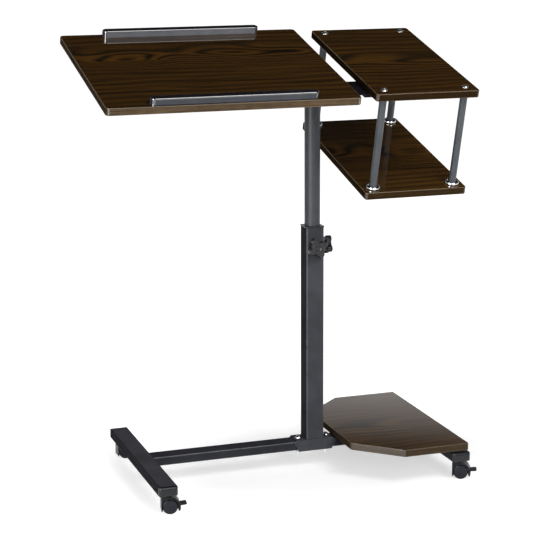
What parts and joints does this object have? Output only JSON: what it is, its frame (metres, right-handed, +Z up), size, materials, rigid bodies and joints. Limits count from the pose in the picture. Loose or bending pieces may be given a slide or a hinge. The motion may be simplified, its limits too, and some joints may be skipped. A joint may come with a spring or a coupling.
{
  "type": "laptop cart",
  "caption": "Rolling laptop cart with a tilting wooden top, stop rails and a double side shelf on a telescopic column.",
  "frame": {"origin": "on the floor, under the middle of the whole cart's box", "axes": "+X to the user's right, towards the side shelf; +Y from the user to the back; +Z up"},
  "size_m": [0.765, 0.4366, 0.9109],
  "materials": {
    "dark_wood": "dark brown wood grain under a glossy lacquer",
    "base_wood": "grey brown wood grain, satin",
    "black_paint": "charcoal powder coat, satin",
    "grey_paint": "dark grey powder coat, satin",
    "gloss_black": "glossy black",
    "black_plastic": "black moulded plastic, satin",
    "caster_black": "black moulded nylon",
    "wheel_black": "blue black nylon",
    "chrome": "polished chrome",
    "zinc": "zinc plated steel"
  },
  "bodies": {
    "base": {"left_foot_tube": "black_paint", "right_foot_tube": "black_paint", "foot_end_caps": "black_plastic", "crossbar": "black_paint", "saddle_bracket": "black_paint", "saddle_bolts": "chrome", "saddle_nuts": "zinc", "base_board": "base_wood", "base_board_washers": "black_plastic", "base_board_screws": "zinc", "outer_tube": "black_paint", "top_collar": "black_plastic", "clamp_bosses": "black_paint", "caster_stems": "zinc"},
    "guide": {"guide_plug": "black_plastic"},
    "column": {"inner_tube": "grey_paint", "head_bracket": "black_paint", "pivot_bolt": "zinc"},
    "front_clamp": {"front_knob": "black_plastic", "front_knob_stud": "zinc"},
    "side_clamp": {"side_knob": "black_plastic", "side_knob_stud": "zinc"},
    "tilt_clamp": {"tilt_knob": "black_plastic"},
    "caster_front_left": {"hood_front_left": "caster_black", "axle_front_left": "zinc"},
    "wheel_front_left_outer": {"wheel_front_left_outer": "wheel_black"},
    "wheel_front_left_inner": {"wheel_front_left_inner": "wheel_black"},
    "brake_lever_left": {"brake_lever_left": "caster_black"},
    "caster_front_right": {"hood_front_right": "caster_black", "axle_front_right": "zinc"},
    "wheel_front_right_outer": {"wheel_front_right_outer": "wheel_black"},
    "wheel_front_right_inner": {"wheel_front_right_inner": "wheel_black"},
    "brake_lever_right": {"brake_lever_right": "caster_black"},
    "caster_back_left": {"hood_back_left": "caster_black", "axle_back_left": "zinc"},
    "wheel_back_left_outer": {"wheel_back_left_outer": "wheel_black"},
    "wheel_back_left_inner": {"wheel_back_left_inner": "wheel_black"},
    "caster_back_right": {"hood_back_right": "caster_black", "axle_back_right": "zinc"},
    "wheel_back_right_outer": {"wheel_back_right_outer": "wheel_black"},
    "wheel_back_right_inner": {"wheel_back_right_inner": "wheel_black"},
    "top": {"tilt_bracket": "black_paint", "tilt_bracket_screws": "zinc", "main_board": "dark_wood", "front_stop_rail": "gloss_black", "rear_stop_rail": "gloss_black", "rail_screws": "zinc", "side_arm": "black_paint", "side_arm_bar": "black_paint", "side_arm_screws": "zinc", "upper_shelf": "dark_wood", "lower_shelf": "dark_wood", "post_front_left": "grey_paint", "post_front_right": "grey_paint", "post_back_left": "grey_paint", "post_back_right": "grey_paint", "post_cups": "chrome", "shelf_top_screws": "chrome", "shelf_bottom_screws": "zinc"}
  },
  "joints": [
    {"name": "height_slide", "type": "slide", "parent": "base", "child": "guide", "axis": [0, 0, 1], "range_m": [-0.18, 0.12]},
    {"name": "column_swivel", "type": "hinge", "parent": "guide", "child": "column", "pos_m": [0.09146, -0.01332, 0.708], "axis": [0, 0, 1], "continuous": true},
    {"name": "top_tilt", "type": "hinge", "parent": "column", "child": "top", "pos_m": [0.09146, -0.01332, 0.808], "axis": [1, 0, 0], "range_deg": [-15, 20]},
    {"name": "front_knob_turn", "type": "hinge", "parent": "base", "child": "front_clamp", "pos_m": [0.09146, -0.01332, 0.471], "axis": [0, -1, 0], "range_deg": [0, 675]},
    {"name": "side_knob_turn", "type": "hinge", "parent": "base", "child": "side_clamp", "pos_m": [0.09146, -0.01332, 0.471], "axis": [1, 0, 0], "range_deg": [0, 675]},
    {"name": "tilt_knob_turn", "type": "hinge", "parent": "column", "child": "tilt_clamp", "pos_m": [0.09146, -0.01332, 0.808], "axis": [1, 0, 0], "range_deg": [0, 675]},
    {"name": "front_left_caster_swivel", "type": "hinge", "parent": "base", "child": "caster_front_left", "pos_m": [-0.27704, -0.19232, 0.036], "axis": [0, 0, 1], "continuous": true},
    {"name": "front_left_outer_wheel_spin", "type": "hinge", "parent": "caster_front_left", "child": "wheel_front_left_outer", "pos_m": [-0.26965, -0.19362, 0.015], "axis": [0.1736, 0.9848, 0], "continuous": true},
    {"name": "front_left_inner_wheel_spin", "type": "hinge", "parent": "caster_front_left", "child": "wheel_front_left_inner", "pos_m": [-0.26965, -0.19362, 0.015], "axis": [0.1736, 0.9848, 0], "continuous": true},
    {"name": "left_brake_lift", "type": "hinge", "parent": "caster_front_left", "child": "brake_lever_left", "pos_m": [-0.25173, -0.19678, 0.018], "axis": [-0.1736, -0.9848, 0], "range_deg": [0, 15]},
    {"name": "front_right_caster_swivel", "type": "hinge", "parent": "base", "child": "caster_front_right", "pos_m": [0.34296, -0.19232, 0.036], "axis": [0, 0, 1], "continuous": true},
    {"name": "front_right_outer_wheel_spin", "type": "hinge", "parent": "caster_front_right", "child": "wheel_front_right_outer", "pos_m": [0.34976, -0.19548, 0.015], "axis": [0.4226, 0.9063, 0], "continuous": true},
    {"name": "front_right_inner_wheel_spin", "type": "hinge", "parent": "caster_front_right", "child": "wheel_front_right_inner", "pos_m": [0.34976, -0.19548, 0.015], "axis": [0.4226, 0.9063, 0], "continuous": true},
    {"name": "right_brake_lift", "type": "hinge", "parent": "caster_front_right", "child": "brake_lever_right", "pos_m": [0.36626, -0.20318, 0.018], "axis": [-0.4226, -0.9063, 0], "range_deg": [0, 15]},
    {"name": "back_left_caster_swivel", "type": "hinge", "parent": "base", "child": "caster_back_left", "pos_m": [-0.27704, 0.16568, 0.036], "axis": [0, 0, 1], "continuous": true},
    {"name": "back_left_outer_wheel_spin", "type": "hinge", "parent": "caster_back_left", "child": "wheel_back_left_outer", "pos_m": [-0.26954, 0.16568, 0.015], "axis": [0, 1, 0], "continuous": true},
    {"name": "back_left_inner_wheel_spin", "type": "hinge", "parent": "caster_back_left", "child": "wheel_back_left_inner", "pos_m": [-0.26954, 0.16568, 0.015], "axis": [0, 1, 0], "continuous": true},
    {"name": "back_right_caster_swivel", "type": "hinge", "parent": "base", "child": "caster_back_right", "pos_m": [0.34296, 0.16568, 0.036], "axis": [0, 0, 1], "continuous": true},
    {"name": "back_right_outer_wheel_spin", "type": "hinge", "parent": "caster_back_right", "child": "wheel_back_right_outer", "pos_m": [0.35046, 0.16568, 0.015], "axis": [0, 1, 0], "continuous": true},
    {"name": "back_right_inner_wheel_spin", "type": "hinge", "parent": "caster_back_right", "child": "wheel_back_right_inner", "pos_m": [0.35046, 0.16568, 0.015], "axis": [0, 1, 0], "continuous": true}
  ]
}
